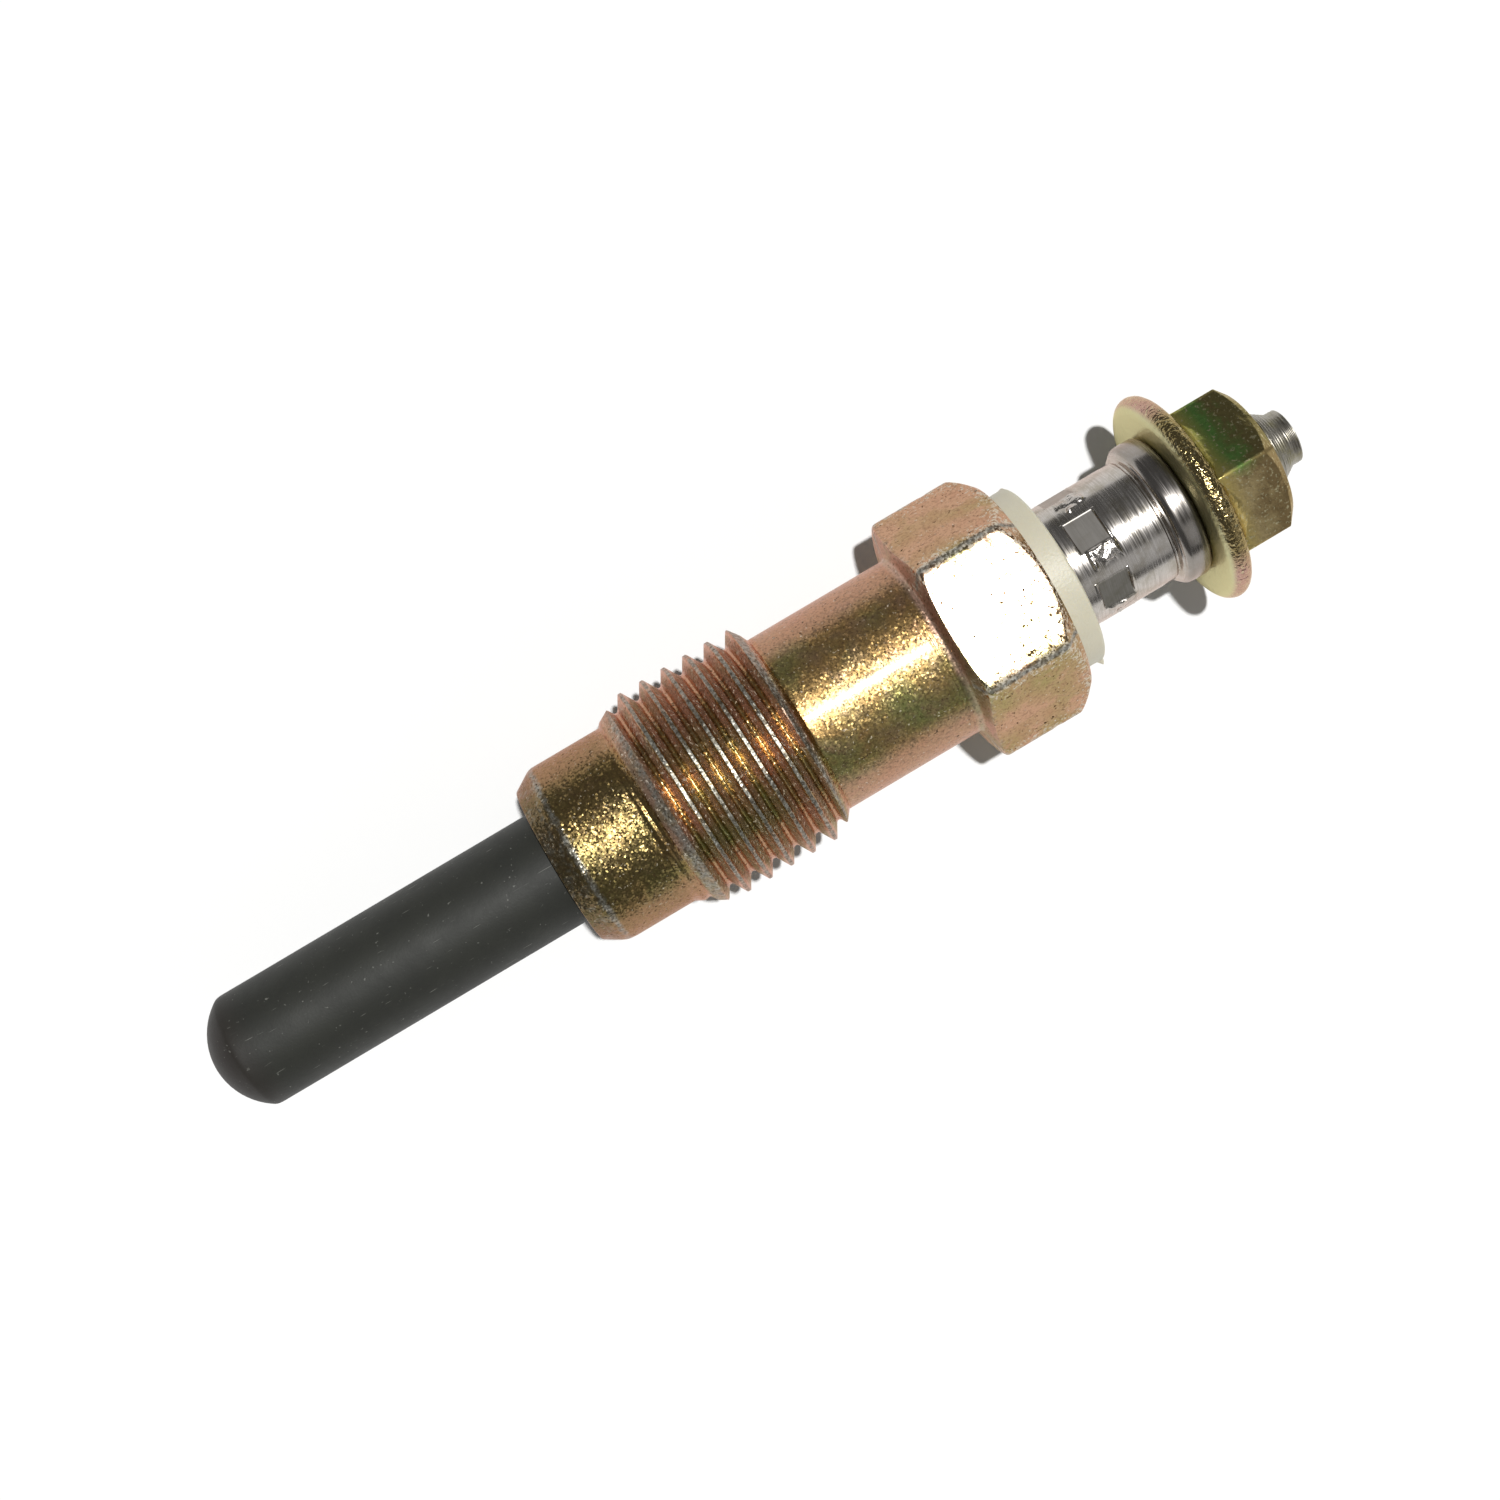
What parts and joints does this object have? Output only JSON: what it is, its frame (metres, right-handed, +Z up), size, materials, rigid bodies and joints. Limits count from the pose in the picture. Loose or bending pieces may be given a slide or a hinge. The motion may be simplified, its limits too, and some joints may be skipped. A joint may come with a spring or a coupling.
{
  "type": "diesel glow plug",
  "caption": "Screw-in diesel glow plug: slim heater tube with a domed tip, threaded hexagon body with a conical seat, insulated terminal stud and flange nut.",
  "frame": {"origin": "on the plug's axis, in the plane of the body's front face, where the glow tube comes out of the conical seat", "axes": "+X along the axis from the heater tip to the terminal, +Z up, square to the hexagon flat that it lies on"},
  "size_m": [0.0621, 0.0134, 0.0118],
  "materials": {
    "yellow_zinc": "yellow-chromate zinc plate over turned steel, worn at the edges",
    "heater_steel": "dark oxidised heat-resistant steel, matt",
    "coil_wire": "drawn resistance wire",
    "magnesia": "packed insulating powder",
    "black_rubber": "moulded black rubber",
    "pin_steel": "turned steel",
    "cream_nylon": "moulded cream nylon",
    "bright_nickel": "bright plated, fine turning marks",
    "olive_zinc": "olive-green chromate zinc plate"
  },
  "bodies": {
    "root": {"body": "yellow_zinc", "glow_tube": "heater_steel", "heating_coil": "coil_wire", "regulating_coil": "coil_wire", "insulating_powder": "magnesia", "tube_seal": "black_rubber", "terminal_pin": "pin_steel", "body_seal": "black_rubber", "insulating_washer": "cream_nylon", "ring_nut": "bright_nickel", "terminal_nut": "olive_zinc"}
  },
  "joints": []
}
